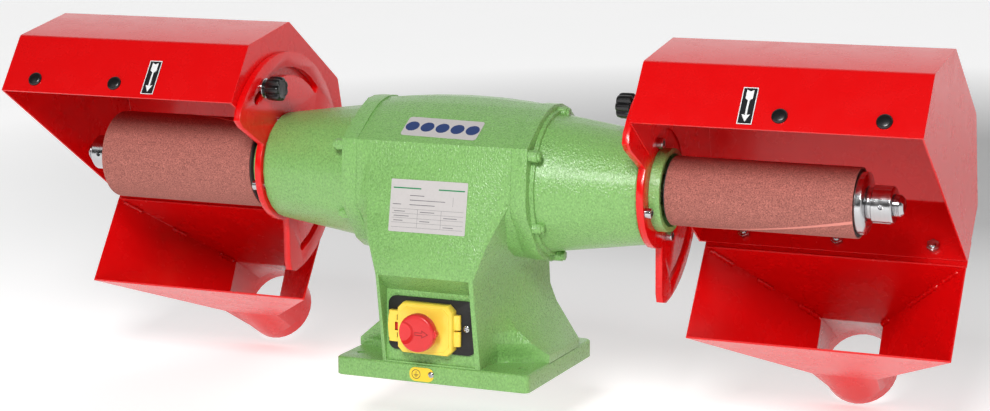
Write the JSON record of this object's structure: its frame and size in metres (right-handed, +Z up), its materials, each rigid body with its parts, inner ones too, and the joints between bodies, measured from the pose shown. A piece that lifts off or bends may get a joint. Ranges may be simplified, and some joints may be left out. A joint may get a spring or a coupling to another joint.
{
  "type": "polishing machine",
  "caption": "Double-ended drum polishing machine: crowned motor housing on a flared column, long spindle with abrasive drums, swivelling extraction hoods with funnels.",
  "frame": {"origin": "underside of the base, straight below the middle of the spindle", "axes": "+X along the spindle to the viewer's right, +Z up, -Y towards the operator"},
  "size_m": [1.0732, 0.4325, 0.4448],
  "materials": {
    "green_enamel": "hammertone enamel",
    "red_powder_coat": "gloss powder coat",
    "bright_steel": "turned and zinc plated",
    "dark_steel": "raw",
    "core_steel": "varnished laminations",
    "abrasive_cloth": "grit on cloth",
    "drum_rubber": "matte",
    "black_plastic": "semi gloss",
    "black_rubber": "matte",
    "yellow_plastic": "satin",
    "stop_red_plastic": "satin",
    "start_green_plastic": "satin"
  },
  "bodies": {
    "stand": {"motor_housing": "green_enamel", "bottom_cover": "dark_steel", "end_bell_right": "green_enamel", "end_bell_left": "green_enamel", "stator_core": "core_steel", "bearing_right": "bright_steel", "bearing_left": "bright_steel", "swivel_plate_right": "red_powder_coat", "swivel_plate_left": "red_powder_coat", "plate_screw_1_right": "bright_steel", "plate_screw_1_left": "bright_steel", "plate_screw_2_right": "bright_steel", "plate_screw_2_left": "bright_steel", "plate_screw_3_right": "bright_steel", "plate_screw_3_left": "bright_steel", "plate_screw_4_right": "bright_steel", "plate_screw_4_left": "bright_steel", "switch_gasket": "black_rubber", "gasket_screw": "bright_steel", "switch_box": "black_plastic", "earth_screw": "bright_steel", "cable_gland": "black_plastic", "terminal_block": "black_plastic"},
    "spindle": {"spindle_shaft": "bright_steel", "rotor_core": "core_steel", "drum_right": "drum_rubber", "drum_left": "drum_rubber", "abrasive_sleeve_right": "abrasive_cloth", "abrasive_sleeve_left": "abrasive_cloth", "drum_washer_right": "bright_steel", "drum_washer_left": "bright_steel", "spindle_nut_right": "bright_steel", "spindle_nut_left": "bright_steel"},
    "hood_right": {"hood_right": "red_powder_coat", "hopper_right": "red_powder_coat", "hopper_bolt_1_right": "bright_steel", "hopper_bolt_2_right": "bright_steel", "hopper_bolt_3_right": "bright_steel", "hood_plug_1_right": "black_plastic", "hood_plug_2_right": "black_plastic", "clamp_stud_right": "bright_steel", "guide_bolt_right": "bright_steel"},
    "hood_left": {"hood_left": "red_powder_coat", "hopper_left": "red_powder_coat", "hopper_bolt_1_left": "bright_steel", "hopper_bolt_2_left": "bright_steel", "hopper_bolt_3_left": "bright_steel", "hood_plug_1_left": "black_plastic", "hood_plug_2_left": "black_plastic", "clamp_stud_left": "bright_steel", "guide_bolt_left": "bright_steel"},
    "knob_right": {"clamp_knob_right": "black_plastic"},
    "knob_left": {"clamp_knob_left": "black_plastic"},
    "lid": {"switch_lid": "yellow_plastic", "latch_tab": "stop_red_plastic"},
    "mushroom": {"stop_mushroom": "stop_red_plastic"},
    "start_key": {"start_button": "start_green_plastic"},
    "stop_key": {"stop_button": "stop_red_plastic"}
  },
  "joints": [
    {"name": "spindle_spin", "type": "hinge", "parent": "stand", "child": "spindle", "pos_m": [0, 0, 0.2165], "axis": [1, 0, 0], "continuous": true},
    {"name": "hood_right_swing", "type": "hinge", "parent": "stand", "child": "hood_right", "pos_m": [0.3845, 0, 0.2165], "axis": [1, 0, 0], "range_deg": [-70, 12]},
    {"name": "hood_left_swing", "type": "hinge", "parent": "stand", "child": "hood_left", "pos_m": [-0.3845, 0, 0.2165], "axis": [1, 0, 0], "range_deg": [-71.4, 10.5]},
    {"name": "knob_right_turn", "type": "hinge", "parent": "hood_right", "child": "knob_right", "pos_m": [0.21, -0.0507, 0.31186], "axis": [-1, 0, 0], "range_deg": [0, 360]},
    {"name": "knob_left_turn", "type": "hinge", "parent": "hood_left", "child": "knob_left", "pos_m": [-0.21, -0.05303, 0.31058], "axis": [1, 0, 0], "range_deg": [0, 360]},
    {"name": "lid_swing", "type": "hinge", "parent": "stand", "child": "lid", "pos_m": [0.0352, -0.0983, 0.0632], "axis": [0, 0, 1], "range_deg": [0, 90]},
    {"name": "mushroom_press", "type": "slide", "parent": "lid", "child": "mushroom", "axis": [0, 1, 0], "range_m": [0, 0.004], "stiffness_N_per_m": 900},
    {"name": "start_press", "type": "slide", "parent": "stand", "child": "start_key", "axis": [0, 1, 0], "range_m": [0, 0.002], "stiffness_N_per_m": 500},
    {"name": "stop_press", "type": "slide", "parent": "stand", "child": "stop_key", "axis": [0, 1, 0], "range_m": [0, 0.002], "stiffness_N_per_m": 500}
  ]
}
